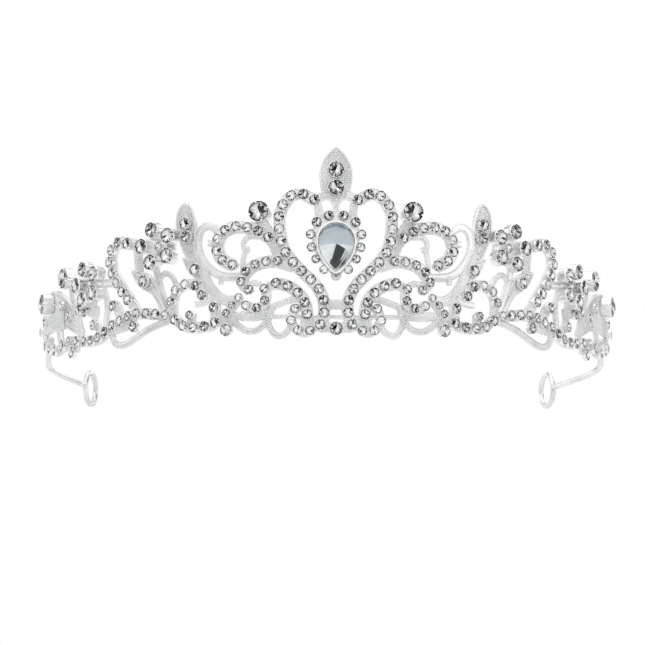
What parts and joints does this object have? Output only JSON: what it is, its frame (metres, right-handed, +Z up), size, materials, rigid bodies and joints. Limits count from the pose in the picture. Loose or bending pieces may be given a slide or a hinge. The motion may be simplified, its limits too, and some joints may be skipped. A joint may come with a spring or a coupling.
{
  "type": "bridal tiara",
  "caption": "Curved openwork bridal tiara: a pear stone in a heart of round stones, scrolls, leaves and flowers, with a back bar and end wires with pin loops.",
  "frame": {"origin": "centre of the band's circle, at the height of the band's lower edge, where the band sits round the head", "axes": "+X to the wearer's left end of the band as seen from the front right, -Y out of the front, +Z up"},
  "size_m": [0.155, 0.1216, 0.0551],
  "materials": {
    "silver_plate": "bright silver plating over a cast alloy with beaded edges",
    "polished_wire": "smooth silver-plated wire",
    "round_crystal": "foil-backed cut glass",
    "pear_crystal": "foil-backed cut glass, large flat table",
    "foil": "silver foil"
  },
  "bodies": {
    "root": {"centre_heart": "silver_plate", "peak_leaf": "silver_plate", "pear_bezel": "silver_plate", "pear_foil": "foil", "pear_stone": "pear_crystal", "halo_setting": "silver_plate", "halo_stones": "round_crystal", "leaf_stones": "round_crystal", "heart_cups": "silver_plate", "heart_stones": "round_crystal", "big_stone_cups": "silver_plate", "big_round_stones": "round_crystal", "back_bar": "polished_wire", "solder_beads": "polished_wire", "upper_scroll_left": "silver_plate", "upper_scroll_right": "silver_plate", "middle_scroll_left": "silver_plate", "middle_scroll_right": "silver_plate", "lower_scroll_left": "silver_plate", "lower_scroll_right": "silver_plate", "plain_loops_left": "silver_plate", "plain_loops_right": "silver_plate", "side_branch_left": "silver_plate", "side_branch_right": "silver_plate", "tall_leaf_left": "silver_plate", "tall_leaf_right": "silver_plate", "base_rail_left": "silver_plate", "base_rail_right": "silver_plate", "arch_left": "silver_plate", "arch_right": "silver_plate", "end_piece_left": "silver_plate", "end_piece_right": "silver_plate", "inner_flower_left": "silver_plate", "inner_flower_right": "silver_plate", "outer_flower_left": "silver_plate", "outer_flower_right": "silver_plate", "end_wire_left": "polished_wire", "end_wire_right": "polished_wire", "scroll_cups_left": "silver_plate", "scroll_cups_right": "silver_plate", "rail_cups_left": "silver_plate", "rail_cups_right": "silver_plate", "arch_cups_left": "silver_plate", "arch_cups_right": "silver_plate", "end_cups_left": "silver_plate", "end_cups_right": "silver_plate", "scroll_stones_left": "round_crystal", "scroll_stones_right": "round_crystal", "rail_stones_left": "round_crystal", "rail_stones_right": "round_crystal", "arch_stones_left": "round_crystal", "arch_stones_right": "round_crystal", "end_stones_left": "round_crystal", "end_stones_right": "round_crystal", "inner_flower_stones_left": "round_crystal", "inner_flower_stones_right": "round_crystal", "outer_flower_stones_left": "round_crystal", "outer_flower_stones_right": "round_crystal"}
  },
  "joints": []
}
